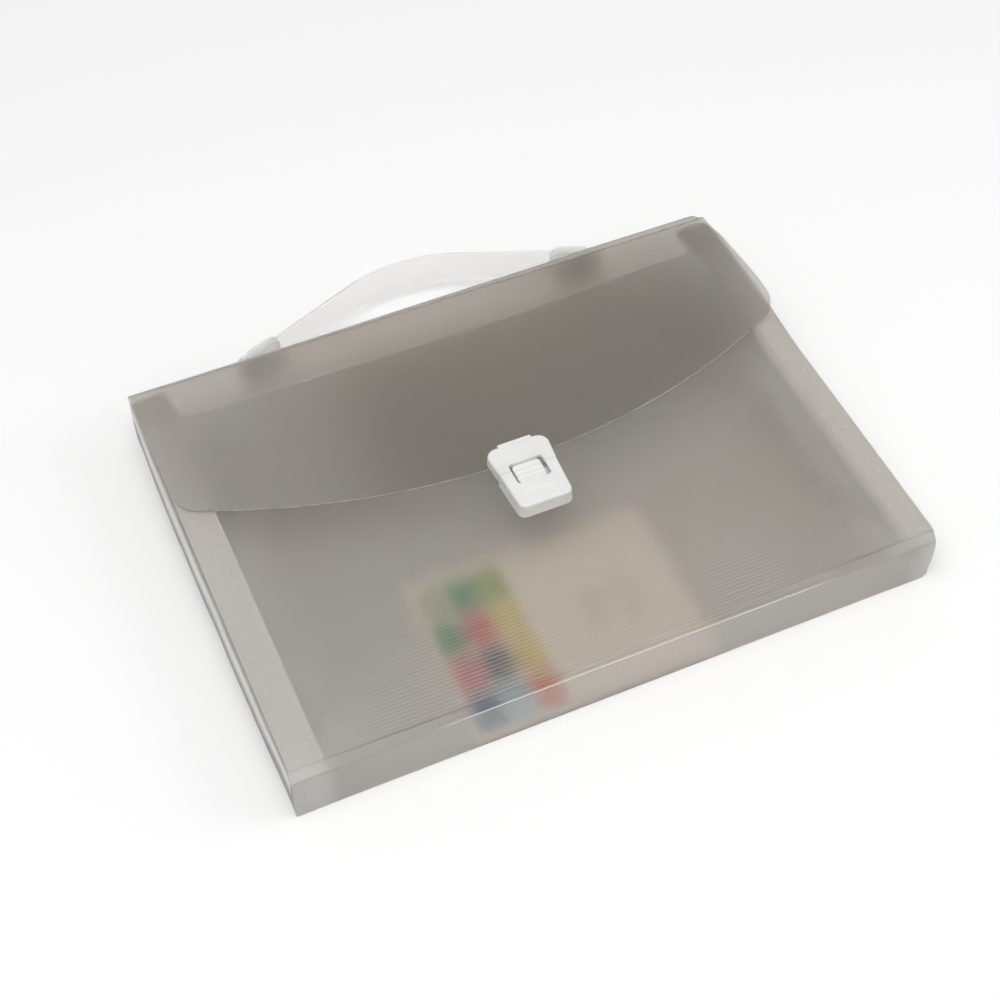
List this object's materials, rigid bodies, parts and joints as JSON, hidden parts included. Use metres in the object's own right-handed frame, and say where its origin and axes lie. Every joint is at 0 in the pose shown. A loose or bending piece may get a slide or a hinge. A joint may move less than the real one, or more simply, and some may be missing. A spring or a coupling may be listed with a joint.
{
  "type": "document case",
  "caption": "Flat translucent document case with welded side gussets, a curved folding flap, a latch with a sliding button and a bowed carrying handle.",
  "frame": {"origin": "centre of the back panel's outer face, which the case lies on", "axes": "+X to the right across the front, +Y towards the spine and handle, +Z from the back panel to the front panel"},
  "size_m": [0.3348, 0.285, 0.0415],
  "materials": {
    "case_sheet": "translucent grey polypropylene with fine ribs",
    "gusset_sheet": "thin translucent polypropylene film",
    "weld_mark": "melted spots of the same plastic",
    "white_moulding": "white moulded plastic, satin",
    "handle_plastic": "soft white plastic",
    "printed_card": "plain card with printed colour blocks"
  },
  "bodies": {
    "case": {"back_panel": "case_sheet", "bottom_wall": "case_sheet", "bottom_bevel": "case_sheet", "front_panel": "case_sheet", "gusset_front_flange_left": "gusset_sheet", "gusset_front_leaf_left": "gusset_sheet", "gusset_back_leaf_left": "gusset_sheet", "gusset_back_flange_left": "gusset_sheet", "gusset_front_flange_right": "gusset_sheet", "gusset_front_leaf_right": "gusset_sheet", "gusset_back_leaf_right": "gusset_sheet", "gusset_back_flange_right": "gusset_sheet", "front_welds_left": "weld_mark", "front_welds_right": "weld_mark", "back_welds_left": "weld_mark", "back_welds_right": "weld_mark", "lock_body": "white_moulding", "lock_plate": "white_moulding"},
    "spine": {"spine_panel": "case_sheet", "handle_cap_left": "handle_plastic", "handle_cap_right": "handle_plastic", "handle_base_left": "handle_plastic", "handle_base_right": "handle_plastic", "handle_plate_left": "handle_plastic", "handle_plate_right": "handle_plastic"},
    "bevel": {"spine_bevel": "case_sheet"},
    "flap": {"flap_panel": "case_sheet", "hasp": "white_moulding", "hasp_plate": "white_moulding"},
    "button": {"slide_button": "white_moulding"},
    "strap": {"handle_strap": "handle_plastic"},
    "card": {"insert_card": "printed_card"}
  },
  "joints": [
    {"name": "spine_fold", "type": "hinge", "parent": "case", "child": "spine", "pos_m": [0, 0.12262, 0.00038], "axis": [-1, 0, 0], "range_deg": [0, 90]},
    {"name": "bevel_fold", "type": "hinge", "parent": "spine", "child": "bevel", "pos_m": [0, 0.12262, 0.03018], "axis": [-1, 0, 0], "range_deg": [0, 85]},
    {"name": "flap_fold", "type": "hinge", "parent": "bevel", "child": "flap", "pos_m": [0, 0.11853, 0.03427], "axis": [-1, 0, 0], "range_deg": [0, 85]},
    {"name": "button_slide", "type": "slide", "parent": "case", "child": "button", "axis": [0, -1, 0], "range_m": [0, 0.0025], "stiffness_N_per_m": 400},
    {"name": "strap_press", "type": "slide", "parent": "spine", "child": "strap", "axis": [0, -1, 0], "range_m": [0, 0.012], "stiffness_N_per_m": 600, "deforming": ["handle_strap"]},
    {"name": "card_slide", "type": "slide", "parent": "case", "child": "card", "axis": [0, 1, 0], "range_m": [0, 0.14]}
  ],
  "couplings": [
    {"joint": "bevel_fold", "follows": "flap_fold", "ratio": 1}
  ]
}
